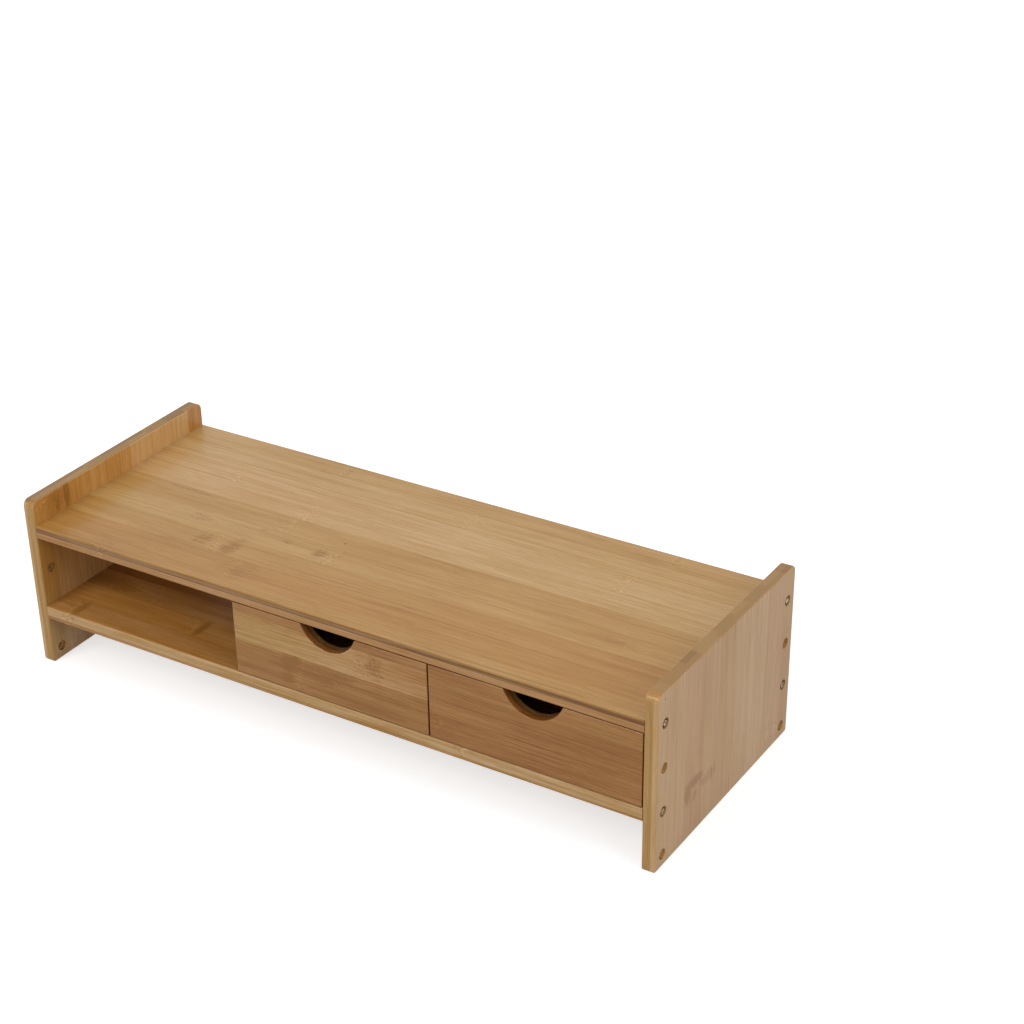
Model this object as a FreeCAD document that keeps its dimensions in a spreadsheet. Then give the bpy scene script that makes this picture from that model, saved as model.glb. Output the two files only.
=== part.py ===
import FreeCAD, Part
import os
import re
import Sketcher

# Laptop stand with two drawers and an open bay, in millimetres.
# X runs to the right, Y to the rear and Z up. The origin is on the ground under the middle of the stand.

SIZES = {
    # Whole stand
    "overall_width": 540.0,
    "overall_depth": 202.0,
    "panel_height": 140.0,
    # Side panels
    "panel_thickness": 10.0,
    "panel_top_corner_radius": 5.5,
    "panel_bottom_corner_radius": 2.0,
    "panel_edge_round": 1.0,
    # Screw holes: four levels in each column, evenly spaced between the highest and the lowest
    "hole_from_top": 25.0,
    "hole_from_ground": 10.0,
    "hole_inset": 10.5,
    "hole_clearance": 0.4,
    "counterbore_clearance": 1.2,
    # How deep each kind of counterbore is: most screws, the deeply sunk ones, and the spare holes
    "screw_counterbore_depth": 3.0,
    "deep_counterbore_depth": 7.0,
    "spare_counterbore_depth": 2.5,
    # Top board and lower shelf
    "board_thickness": 10.5,
    "board_edge_round": 0.8,
    "pilot_clearance": 0.1,
    "pilot_end_clearance": 1.0,
    # Cross-head screws
    "screw_length": 25.0,
    "screw_diameter": 4.0,
    "screw_point": 4.0,
    "screw_tip_diameter": 0.6,
    "screw_head_diameter": 7.0,
    "screw_head_height": 2.6,
    "screw_head_round": 1.2,
    "recess_span": 4.4,
    "recess_width": 1.0,
    "recess_depth": 1.6,
    # Stop dowels, standing in the shelf behind the drawers
    "dowel_diameter": 6.0,
    "dowel_height": 18.7,
    "dowel_floor": 2.5,
    "dowel_clearance": 0.1,
    "dowel_chamfer": 0.5,
    "dowel_eye_diameter": 2.0,
    "dowel_eye_depth": 3.0,
    "dowel_inset": 14.0,
    # How far each dowel stands in from the nearer side of its drawer
    "outer_stop_inset": 23.9,
    "inner_stop_inset": 22.6,
    "middle_stop_right_inset": 35.1,
    "middle_stop_left_inset": 18.9,
    # Drawers
    "drawer_width": 167.0,
    "drawer_panel_gap": 0.6,
    "drawer_pair_gap": 0.8,
    "drawer_top_gap": 0.6,
    "drawer_floor_gap": 0.2,
    "drawer_stop_gap": 0.3,
    "front_thickness": 10.0,
    "wall_thickness": 8.0,
    "wall_drop": 4.5,
    "front_edge_round": 1.0,
    "wall_edge_round": 0.8,
    "cutout_radius": 24.5,
    "cutout_depth": 16.5,
    "cutout_edge_round": 0.8,
    # Drawer bottoms, in grooves
    "bottom_thickness": 3.0,
    "bottom_height": 6.5,
    "bottom_entry": 3.0,
    "groove_clearance": 0.2,
    "groove_end_clearance": 0.5,
    # How far each cut runs past the wood
    "overrun": 1.0,
}

# Sums of the sizes above that several pieces share
INNER_HALF = "(overall_width / 2 - panel_thickness)"
HALF_DEPTH = "(overall_depth / 2)"
HOLE_PLACE = "(overall_depth / 2 - hole_inset)"
HOLE_STEP = "((panel_height - hole_from_top - hole_from_ground) / 3)"
TOP_LEVEL = "(panel_height - hole_from_top)"
SHELF_LEVEL = f"({TOP_LEVEL} - 2 * {HOLE_STEP})"
COUNTERBORE = "(screw_head_diameter + counterbore_clearance)"
DOWEL_SEAT = "(board_thickness - dowel_floor)"
STOP_PLACE = "(overall_depth / 2 - dowel_inset)"
FRONT_HEIGHT = f"(2 * {HOLE_STEP} - board_thickness - drawer_top_gap - drawer_floor_gap)"
WALL_HEIGHT = f"({FRONT_HEIGHT} - wall_drop)"
WALL_LENGTH = ("(overall_depth - dowel_inset - dowel_diameter / 2 - drawer_stop_gap"
               " - front_thickness)")
INNER_DRAWER_HALF = "(drawer_width / 2 - wall_thickness)"
GROOVE_DEPTH = "(bottom_entry + groove_end_clearance)"
GROOVE_TOP = "(bottom_height + bottom_thickness + groove_clearance)"
DRAWER_FLOOR = f"({SHELF_LEVEL} + board_thickness / 2 + drawer_floor_gap)"
RIGHT_DRAWER = f"({INNER_HALF} - drawer_panel_gap - drawer_width / 2)"
MIDDLE_DRAWER = f"({RIGHT_DRAWER} - drawer_width - drawer_pair_gap)"
OUTER_STOP = f"({RIGHT_DRAWER} + drawer_width / 2 - outer_stop_inset)"
INNER_STOP = f"({RIGHT_DRAWER} - drawer_width / 2 + inner_stop_inset)"
MIDDLE_STOP_RIGHT = f"({MIDDLE_DRAWER} + drawer_width / 2 - middle_stop_right_inset)"
MIDDLE_STOP_LEFT = f"({MIDDLE_DRAWER} - drawer_width / 2 + middle_stop_left_inset)"

# The screw holes' levels, counted in steps down from the top board's
BOARD_STEPS = {"top_board": 0, "lower_shelf": 2}
SPARE_STEPS = (1, 3)
SIGNS = {"front": "-", "rear": ""}

# The screws whose heads are sunk deep into the side panel
DEEP_SCREWS = (
    ("top_board", "left", "front"),
    ("top_board", "left", "rear"),
    ("lower_shelf", "left", "front"),
)

# A half turn about the vertical, which faces a left screw outwards
HALF_TURN = FreeCAD.Rotation(FreeCAD.Vector(0, 0, 1), 180)

# An edge counts as lying in a plane when its ends are this share of a millimetre from it
NEAR_SHARE = 1e-4

doc = FreeCAD.newDocument("laptop_stand")


def formula(text):
    """Turn a sum of size names into an expression that reads them from the sheet."""
    return re.sub(r"[a-z]\w*", lambda word: "Sizes." + word.group(0), text)


def make_sheet():
    """Write every driving size to the sheet, its name beside its value."""
    sheet = doc.addObject("Spreadsheet::Sheet", "Sizes")
    for row, (name, value) in enumerate(SIZES.items(), start=1):
        sheet.set(f"A{row}", name)
        sheet.set(f"B{row}", str(value))
        sheet.setAlias(f"B{row}", name)
    doc.recompute()


def new_body(name, x="0", y="0", z="0"):
    """Start a piece whose own origin stands at the given place in the stand."""
    body = doc.addObject("PartDesign::Body", name)
    body.Label = name
    for axis, text in zip("xyz", (x, y, z)):
        body.setExpression(f"Placement.Base.{axis}", formula(text))
    return body


def new_sketch(body, name, plane, offset="0"):
    """Lay a sketch on one of the piece's own origin planes, or parallel to it."""
    sketch = body.newObject("Sketcher::SketchObject", name)
    feature = next(item for item in body.Origin.OriginFeatures if item.Role == plane)
    sketch.AttachmentSupport = [(feature, "")]
    sketch.MapMode = "FlatFace"
    sketch.setExpression("AttachmentOffset.Base.z", formula(offset))
    return sketch


def bind(sketch, constraint, text):
    """Add a constraint whose value comes from the sheet."""
    index = sketch.addConstraint(constraint)
    sketch.setExpression(f"Constraints[{index}]", formula(text))


def put_point(sketch, geometry, point, x, y):
    """Hold a point of the sketch at a place measured from the sketch's origin."""
    bind(sketch, Sketcher.Constraint("DistanceX", geometry, point, 1), x)
    bind(sketch, Sketcher.Constraint("DistanceY", geometry, point, 1), y)


def add_rectangle(sketch, left, low, right, high):
    """Draw a rectangle between two corners, from a unit square that the sizes stretch."""
    first = sketch.GeometryCount
    corners = [FreeCAD.Vector(x, y, 0) for x, y in ((0, 0), (1, 0), (1, 1), (0, 1))]
    for start, end in zip(corners, corners[1:] + corners[:1]):
        sketch.addGeometry(Part.LineSegment(start, end), False)
    for side in range(4):
        after = first + (side + 1) % 4
        sketch.addConstraint(Sketcher.Constraint("Coincident", first + side, 2, after, 1))
    for side in (0, 2):
        sketch.addConstraint(Sketcher.Constraint("Horizontal", first + side))
        sketch.addConstraint(Sketcher.Constraint("Vertical", first + side + 1))
    put_point(sketch, first, 1, left, low)
    put_point(sketch, first + 2, 1, right, high)


def add_circle(sketch, x, y, diameter):
    """Draw a circle, from a unit circle that the sizes move and stretch."""
    unit = Part.Circle(FreeCAD.Vector(0, 0, 0), FreeCAD.Vector(0, 0, 1), 1)
    index = sketch.addGeometry(unit, False)
    put_point(sketch, index, 3, x, y)
    bind(sketch, Sketcher.Constraint("Diameter", index, 1), diameter)


def pad(body, name, sketch, length, backwards=False):
    """Raise the sketch into wood."""
    feature = body.newObject("PartDesign::Pad", name)
    feature.Profile = sketch
    feature.Reversed = backwards
    feature.setExpression("Length", formula(length))
    doc.recompute()
    return feature


def pocket(body, name, sketch, depth=None, backwards=False):
    """Cut the sketch out of the piece, to a depth or right through, and check that it cuts."""
    volume = body.Shape.Volume
    feature = body.newObject("PartDesign::Pocket", name)
    feature.Profile = sketch
    feature.Reversed = backwards
    if depth is None:
        feature.Type = "ThroughAll"
        feature.SideType = "Symmetric"
    else:
        feature.setExpression("Length", formula(depth))
    doc.recompute()
    if body.Shape.Volume >= volume:
        raise RuntimeError(f"{body.Label}: {name} cuts nothing")
    return feature


def edge_names(feature, wanted):
    """Name the edges of a feature that pass a test."""
    edges = enumerate(feature.Shape.Edges, start=1)
    return [f"Edge{number}" for number, edge in edges if wanted(edge)]


def edges_on(feature, axis, place):
    """Name the edges that lie in one plane square to an axis of the piece."""
    def in_plane(edge):
        return all(abs(getattr(vertex, axis) - place) < NEAR_SHARE for vertex in edge.Vertexes)
    return edge_names(feature, in_plane)


def edges_along(feature, axis, half=None):
    """Name the straight edges that run along an axis, all of them or those in the upper or lower half."""
    middle = feature.Shape.BoundBox.Center.z

    def runs_along(edge):
        if not isinstance(edge.Curve, Part.Line):
            return False
        level = half is None or (edge.CenterOfMass.z > middle) == (half == "upper")
        return level and abs(getattr(edge.Curve.Direction, axis)) > 1 - NEAR_SHARE
    return edge_names(feature, runs_along)


def round_edges(feature, radius):
    """Name the arcs and circles of a given radius."""
    def has_radius(edge):
        return isinstance(edge.Curve, Part.Circle) and abs(edge.Curve.Radius - radius) < NEAR_SHARE
    return edge_names(feature, has_radius)


def dress(body, kind, name, base, edges, size_property, text):
    """Round or bevel some edges of the piece."""
    feature = body.newObject(f"PartDesign::{kind}", name)
    feature.Base = (base, edges)
    feature.setExpression(size_property, formula(text))
    doc.recompute()
    return feature


def fillet(body, name, base, edges, radius):
    return dress(body, "Fillet", name, base, edges, "Radius", radius)


def chamfer(body, name, base, edges, size):
    return dress(body, "Chamfer", name, base, edges, "Size", size)


def level_of(step):
    """Height of a row of screw holes above the ground."""
    return f"{TOP_LEVEL} - {step} * {HOLE_STEP}"


def sinking(board, side, end):
    """Depth of the counterbore that a screw's head sits in."""
    return "deep_counterbore_depth" if (board, side, end) in DEEP_SCREWS else "screw_counterbore_depth"


def drill(body, name, places, diameter, offset, depth=None):
    """Drill round holes square to the panel, from a plane beside it."""
    sketch = new_sketch(body, f"{name}_places", "YZ_Plane", offset)
    for sign, step in places:
        add_circle(sketch, sign + HOLE_PLACE, level_of(step), diameter)
    pocket(body, name, sketch, depth, backwards=offset.startswith("-"))


def make_side_panel(side, x):
    """One side panel, with the screws' counterbores outside and the spare holes' towards the right."""
    name = f"{side}_side_panel"
    body = new_body(name, x=x)
    outline = new_sketch(body, f"{name}_outline", "YZ_Plane")
    add_rectangle(outline, "-" + HALF_DEPTH, "0", HALF_DEPTH, "panel_height")
    plate = pad(body, f"{name}_plate", outline, "panel_thickness")
    feet = fillet(body, f"{name}_bottom_corners", plate, edges_along(plate, "x", "lower"),
                  "panel_bottom_corner_radius")
    shaped = fillet(body, f"{name}_top_corners", feet, edges_along(feet, "x", "upper"),
                    "panel_top_corner_radius")
    rims = edges_on(shaped, "X", 0) + edges_on(shaped, "X", SIZES["panel_thickness"])
    fillet(body, f"{name}_edge_break", shaped, rims, "panel_edge_round")
    spares = [(sign, step) for step in SPARE_STEPS for sign in SIGNS.values()]
    screws = [(sign, step) for step in BOARD_STEPS.values() for sign in SIGNS.values()]
    drill(body, f"{name}_holes", screws + spares, "screw_diameter + hole_clearance", "0")
    right_face = "panel_thickness + overrun"
    outer_face = right_face if side == "right" else "-overrun"
    drill(body, f"{name}_spare_counterbores", spares, COUNTERBORE, right_face,
          "spare_counterbore_depth + overrun")
    for board, step in BOARD_STEPS.items():
        for end, sign in SIGNS.items():
            drill(body, f"{name}_{board}_{end}_counterbore", [(sign, step)], COUNTERBORE, outer_face,
                  sinking(board, side, end) + " + overrun")


def make_board(name):
    """A board between the side panels, with pilot holes for the screws in both ends."""
    body = new_body(name, z=level_of(BOARD_STEPS[name]))
    outline = new_sketch(body, f"{name}_outline", "YZ_Plane", "-" + INNER_HALF)
    add_rectangle(outline, "-" + HALF_DEPTH, "-board_thickness / 2", HALF_DEPTH, "board_thickness / 2")
    plank = pad(body, f"{name}_plank", outline, "2 * " + INNER_HALF)
    fillet(body, f"{name}_edge_break", plank, edges_along(plank, "x"), "board_edge_round")
    for side in ("left", "right"):
        for end, sign in SIGNS.items():
            make_pilot(body, name, side, end, sign)
    return body


def make_pilot(body, board, side, end, sign):
    """The pilot hole of one screw, a little deeper than the screw's point reaches."""
    outward = "" if side == "right" else "-"
    place = new_sketch(body, f"{board}_{side}_{end}_place", "YZ_Plane", f"{outward}({INNER_HALF} + overrun)")
    add_circle(place, sign + HOLE_PLACE, "0", "screw_diameter + pilot_clearance")
    reach = f"screw_length - panel_thickness + {sinking(board, side, end)} + pilot_end_clearance"
    pocket(body, f"{board}_{side}_{end}_pilot", place, reach + " + overrun", side == "left")


def drill_stop_holes(shelf):
    """Six blind holes for stop dowels: four behind the drawers, two empty ones in the open bay."""
    places = new_sketch(shelf, "stop_hole_places", "XY_Plane", "board_thickness / 2 + overrun")
    behind_drawers = (OUTER_STOP, INNER_STOP, MIDDLE_STOP_RIGHT, MIDDLE_STOP_LEFT)
    in_open_bay = ("-" + INNER_STOP, "-" + OUTER_STOP)
    for place in behind_drawers + in_open_bay:
        add_circle(places, place, STOP_PLACE, "dowel_diameter + dowel_clearance")
    pocket(shelf, "stop_holes", places, DOWEL_SEAT + " + overrun")


def make_screw(board, side, end):
    """A cross-head screw that lies along X, with its head in a counterbore."""
    name = f"{board}_screw_{side}_{end}"
    seat = f"(overall_width / 2 - {sinking(board, side, end)})"
    body = new_body(name, x=seat if side == "right" else "-" + seat, y=SIGNS[end] + HOLE_PLACE,
                    z=level_of(BOARD_STEPS[board]))
    if side == "left":
        body.Placement.Rotation = HALF_TURN
    head_sketch = new_sketch(body, f"{name}_head_outline", "YZ_Plane")
    add_circle(head_sketch, "0", "0", "screw_head_diameter")
    head = pad(body, f"{name}_head", head_sketch, "screw_head_height")
    rim = edges_on(head, "X", SIZES["screw_head_height"])
    fillet(body, f"{name}_dome", head, rim, "screw_head_round")
    shank_sketch = new_sketch(body, f"{name}_shank_outline", "YZ_Plane")
    add_circle(shank_sketch, "0", "0", "screw_diameter")
    pad(body, f"{name}_shank", shank_sketch, "screw_length - screw_point", True)
    add_point(body, name)
    for cut, (wide, high) in {"slot": ("recess_span", "recess_width"),
                              "cross_slot": ("recess_width", "recess_span")}.items():
        sketch = new_sketch(body, f"{name}_{cut}_outline", "YZ_Plane", "screw_head_height + overrun")
        add_rectangle(sketch, f"-{wide} / 2", f"-{high} / 2", f"{wide} / 2", f"{high} / 2")
        pocket(body, f"{name}_{cut}", sketch, "recess_depth + overrun")


def add_point(body, name):
    """The screw's tapered point, lofted from the shank's end to its small blunt tip."""
    base = new_sketch(body, f"{name}_point_base", "YZ_Plane", "-(screw_length - screw_point)")
    add_circle(base, "0", "0", "screw_diameter")
    tip = new_sketch(body, f"{name}_point_tip", "YZ_Plane", "-screw_length")
    add_circle(tip, "0", "0", "screw_tip_diameter")
    point = body.newObject("PartDesign::AdditiveLoft", f"{name}_point")
    point.Profile = base
    point.Sections = [tip]
    doc.recompute()


def make_dowel(name, x):
    """A stop dowel, seated in the shelf, with a small eye in its top."""
    body = new_body(name, x=x, y=STOP_PLACE, z=f"{SHELF_LEVEL} + board_thickness / 2")
    outline = new_sketch(body, f"{name}_outline", "XY_Plane", "-" + DOWEL_SEAT)
    add_circle(outline, "0", "0", "dowel_diameter")
    peg = pad(body, f"{name}_peg", outline, f"{DOWEL_SEAT} + dowel_height")
    ends = round_edges(peg, SIZES["dowel_diameter"] / 2)
    chamfer(body, f"{name}_bevel", peg, ends, "dowel_chamfer")
    eye = new_sketch(body, f"{name}_eye_outline", "XY_Plane", "dowel_height + overrun")
    add_circle(eye, "0", "0", "dowel_eye_diameter")
    pocket(body, f"{name}_eye", eye, "dowel_eye_depth + overrun")


def make_front(drawer, x):
    """A drawer front with its half-moon cut-out and the groove for the bottom behind it."""
    name = f"{drawer}_front"
    body = new_body(name, x=x, y="-" + HALF_DEPTH, z=DRAWER_FLOOR)
    outline = new_sketch(body, f"{name}_outline", "XZ_Plane")
    add_rectangle(outline, "-drawer_width / 2", "0", "drawer_width / 2", FRONT_HEIGHT)
    plate = pad(body, f"{name}_plate", outline, "front_thickness", True)
    fillet(body, f"{name}_edge_break", plate, edges_on(plate, "Y", 0), "front_edge_round")
    moon = new_sketch(body, f"{name}_cutout_outline", "XZ_Plane")
    add_circle(moon, "0", FRONT_HEIGHT + " - cutout_depth + cutout_radius", "2 * cutout_radius")
    cut = pocket(body, f"{name}_cutout", moon)
    rims = round_edges(cut, SIZES["cutout_radius"])
    fillet(body, f"{name}_cutout_edge_break", cut, rims, "cutout_edge_round")
    groove = new_sketch(body, f"{name}_groove_outline", "XZ_Plane", "-(front_thickness + overrun)")
    reach = f"({INNER_DRAWER_HALF} + {GROOVE_DEPTH})"
    add_rectangle(groove, "-" + reach, "bottom_height", reach, GROOVE_TOP)
    pocket(body, f"{name}_groove", groove, GROOVE_DEPTH + " + overrun", True)


def make_wall(drawer, side, x):
    """A drawer side, with the bottom's groove cut along its inner face from end to end."""
    name = f"{drawer}_{side}_side"
    inner = "wall_thickness" if side == "left" else "0"
    groove_end = f"wall_thickness - {GROOVE_DEPTH}" if side == "left" else GROOVE_DEPTH
    offset = f"-{INNER_DRAWER_HALF} - wall_thickness" if side == "left" else INNER_DRAWER_HALF
    body = new_body(name, x=f"{x} + ({offset})", y=f"-{HALF_DEPTH} + front_thickness", z=DRAWER_FLOOR)
    outline = new_sketch(body, f"{name}_outline", "XZ_Plane")
    add_rectangle(outline, "0", "0", "wall_thickness", WALL_HEIGHT)
    plank = pad(body, f"{name}_plank", outline, WALL_LENGTH, True)
    fillet(body, f"{name}_edge_break", plank, edges_along(plank, "y", "upper"), "wall_edge_round")
    groove = new_sketch(body, f"{name}_groove_outline", "XZ_Plane")
    beyond = "+ overrun" if side == "left" else "- overrun"
    add_rectangle(groove, groove_end, "bottom_height", f"{inner} {beyond}", GROOVE_TOP)
    pocket(body, f"{name}_groove", groove)


def make_back(drawer, x):
    """A drawer back between the sides, flush with their ends, grooved on its inner face."""
    name = f"{drawer}_back"
    body = new_body(name, x=x, y=f"-{HALF_DEPTH} + front_thickness + {WALL_LENGTH} - wall_thickness",
                    z=DRAWER_FLOOR)
    outline = new_sketch(body, f"{name}_outline", "XZ_Plane")
    add_rectangle(outline, "-" + INNER_DRAWER_HALF, "0", INNER_DRAWER_HALF, WALL_HEIGHT)
    plate = pad(body, f"{name}_plate", outline, "wall_thickness", True)
    rims = edges_on(plate, "Y", SIZES["wall_thickness"])
    fillet(body, f"{name}_edge_break", plate, rims, "wall_edge_round")
    groove = new_sketch(body, f"{name}_groove_outline", "YZ_Plane")
    add_rectangle(groove, "-overrun", "bottom_height", GROOVE_DEPTH, GROOVE_TOP)
    pocket(body, f"{name}_groove", groove)


def make_bottom(drawer, x):
    """The thin bottom panel, which enters the grooves all round."""
    name = f"{drawer}_bottom"
    body = new_body(name, x=x, y=f"-{HALF_DEPTH} + front_thickness - bottom_entry",
                    z=DRAWER_FLOOR + " + bottom_height")
    outline = new_sketch(body, f"{name}_outline", "XY_Plane")
    reach = f"({INNER_DRAWER_HALF} + bottom_entry)"
    add_rectangle(outline, "-" + reach, "0", reach, f"{WALL_LENGTH} - wall_thickness + 2 * bottom_entry")
    pad(body, f"{name}_panel", outline, "bottom_thickness")


def make_drawer(drawer, x):
    make_front(drawer, x)
    make_wall(drawer, "left", x)
    make_wall(drawer, "right", x)
    make_back(drawer, x)
    make_bottom(drawer, x)


def make_stand():
    make_sheet()
    make_side_panel("left", "-overall_width / 2")
    make_side_panel("right", INNER_HALF)
    make_board("top_board")
    shelf = make_board("lower_shelf")
    drill_stop_holes(shelf)
    for board in BOARD_STEPS:
        for side in ("left", "right"):
            for end in SIGNS:
                make_screw(board, side, end)
    make_dowel("middle_stop_dowel_left", MIDDLE_STOP_LEFT)
    make_dowel("middle_stop_dowel_right", MIDDLE_STOP_RIGHT)
    make_dowel("right_stop_dowel_left", INNER_STOP)
    make_dowel("right_stop_dowel_right", OUTER_STOP)
    make_drawer("middle_drawer", MIDDLE_DRAWER)
    make_drawer("right_drawer", RIGHT_DRAWER)
    doc.recompute()


def check_and_write():
    """Stop if anything in the document failed, and write each piece to its own file."""
    for item in doc.Objects:
        if "Invalid" in item.State or "Error" in item.State:
            raise RuntimeError(f"{item.Label} failed: {item.State}")
    bodies = [item for item in doc.Objects if item.TypeId == "PartDesign::Body"]
    for body in bodies:
        if body.Shape.isNull() or not body.Shape.isValid() or len(body.Shape.Solids) != 1:
            raise RuntimeError(f"{body.Label} is not one sound solid")
    os.makedirs("parts", exist_ok=True)
    for body in bodies:
        body.Shape.exportStep(f"parts/{body.Label}.step")
    print(f"{len(bodies)} pieces written")


make_stand()
check_and_write()
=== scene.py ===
import math

import bpy
from mathutils import Matrix, Vector


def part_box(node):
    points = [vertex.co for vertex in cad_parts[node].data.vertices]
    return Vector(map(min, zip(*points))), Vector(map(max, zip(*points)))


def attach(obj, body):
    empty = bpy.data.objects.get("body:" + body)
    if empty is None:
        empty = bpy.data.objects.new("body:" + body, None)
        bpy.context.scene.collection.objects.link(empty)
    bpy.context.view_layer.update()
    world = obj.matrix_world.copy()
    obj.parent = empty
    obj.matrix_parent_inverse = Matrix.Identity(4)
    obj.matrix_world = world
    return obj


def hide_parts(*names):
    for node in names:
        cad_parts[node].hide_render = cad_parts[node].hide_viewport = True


# A laptop stand with two drawers: its CAD pieces are dressed in laminated bamboo, and its screws are made here

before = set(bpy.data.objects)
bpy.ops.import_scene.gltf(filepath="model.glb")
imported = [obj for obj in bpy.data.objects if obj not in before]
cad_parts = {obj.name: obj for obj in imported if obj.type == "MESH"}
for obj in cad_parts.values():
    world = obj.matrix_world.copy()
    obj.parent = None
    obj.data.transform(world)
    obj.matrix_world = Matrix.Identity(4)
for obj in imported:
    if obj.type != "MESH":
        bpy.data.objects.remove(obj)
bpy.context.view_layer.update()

MM = 0.001
MM_PER_METRE = 1000.0


def put(tree, kind, settings=None, inputs=None):
    """Add a node, set its options, and fill or join its inputs."""
    node = tree.nodes.new(kind)
    for name, value in (settings or {}).items():
        setattr(node, name, value)
    for name, value in (inputs or {}).items():
        feed(tree, node.inputs[name], value)
    return node


def feed(tree, socket, value):
    """Join a socket to another, or give it a plain value."""
    if isinstance(value, bpy.types.NodeSocket):
        tree.links.new(value, socket)
    else:
        socket.default_value = value


def sum_of(tree, kind, *terms):
    """One math node."""
    node = put(tree, "ShaderNodeMath", {"operation": kind})
    for socket, term in zip(node.inputs, terms):
        feed(tree, socket, term)
    return node.outputs[0]


def vector_of(tree, x, y, z):
    """Three lengths as one vector."""
    return put(tree, "ShaderNodeCombineXYZ", None, {"X": x, "Y": y, "Z": z}).outputs[0]


def ease(tree, value, low, high, start=0.0, end=1.0):
    """A smooth step from one level to another."""
    node = put(tree, "ShaderNodeMapRange", {"interpolation_type": "SMOOTHSTEP"},
               {"Value": value, "From Min": low, "From Max": high, "To Min": start, "To Max": end})
    return node.outputs[0]


def blend(tree, share, first, second, kind="MIX"):
    """Mix two colours."""
    node = put(tree, "ShaderNodeMix", {"data_type": "RGBA", "blend_type": kind, "clamp_factor": True})
    feed(tree, node.inputs[0], share)
    feed(tree, node.inputs[6], first)
    feed(tree, node.inputs[7], second)
    return node.outputs[2]


def fibres(tree, u, v, w, along, across, seed, detail=0.0, roughness=0.5):
    """Noise drawn out along the grain, from 0 to 1 about a half."""
    place = vector_of(tree, sum_of(tree, "MULTIPLY_ADD", u, along, seed),
                      sum_of(tree, "MULTIPLY", v, across), sum_of(tree, "MULTIPLY", w, across))
    node = put(tree, "ShaderNodeTexNoise", {"noise_dimensions": "3D"},
               {"Vector": place, "Scale": 1.0, "Detail": detail, "Roughness": roughness})
    return node.outputs["Fac"]


# The layers of a board's fibres, from broad to fine: waves per millimetre along and across the grain, how many
# finer rounds of detail, and how strongly the layer darkens and lightens the wood
FIBRE_LAYERS = {
    "clouds": (0.010, 0.055, 1.0, 0.42),
    "bands": (0.008, 0.19, 1.0, 0.40),
    "ribs": (0.009, 0.50, 1.0, 0.46),
    "threads": (0.013, 1.15, 1.0, 0.64),
    "flecking": (0.12, 1.20, 1.0, 0.22),
    "hairs": (0.060, 2.60, 0.0, 0.38),
}

# How much lighter or darker the wood is in clumps of fibres, on glue lines, on the lines in a ply's side, and in
# the pale and dark flecks and the scar of a knuckle
CLUMP_DEPTH = -0.13
GLUE_DEPTH = -0.19
PLY_LINE_DEPTH = -0.50
PALE_FLECKS = 0.18
DARK_FLECKS = -0.22
SCAR_CONTRAST = 1.1

# How far a knuckle's line wanders across a strip and jags from fibre to fibre, how far its flecks reach, how far
# the grain leans round it and drifts elsewhere, and how far its brown strands run, in millimetres
KNUCKLE_WANDER = 14.0
KNUCKLE_JAG = 5.0
KNUCKLE_REACH = 13.0
KNUCKLE_LEAN = 3.0
GRAIN_DRIFT = 3.0
STRAND_REACH, STRAND_LOSS = 34.0, -6.0

# Dark wood is redder and pale wood yellower, so shading changes blue most and red least
TONE_SPREAD = (0.62, 1.0, 2.2)

# The least that shading leaves of a tone
DARKEST = (0.3, 0.22, 0.15)

# Browns laid over the wood, and how much of it each covers
KNUCKLE_BROWN, KNUCKLE_COVER = (0.265, 0.105, 0.010, 1.0), 0.78
MARK_BROWN, MARK_COVER = (0.09, 0.04, 0.012, 1.0), 0.8
BUNDLE_BROWN, BUNDLE_COVER = (0.20, 0.085, 0.03, 1.0), 0.30

# Bundles of fibres in the end grain, in each millimetre across and through a piece
BUNDLES_ACROSS, BUNDLES_THROUGH = 1.15, 1.4

# Lacquer: how rough it is, how much rougher on bands of fibres and on end grain, and how deep the grain shows
LACQUER_ROUGHNESS = 0.27
BAND_ROUGHNESS = 0.10
END_ROUGHNESS = 0.14
LACQUER_IOR = 1.45
GRAIN_STRENGTH = 0.16
GRAIN_DEPTH = 0.18 * MM


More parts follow.
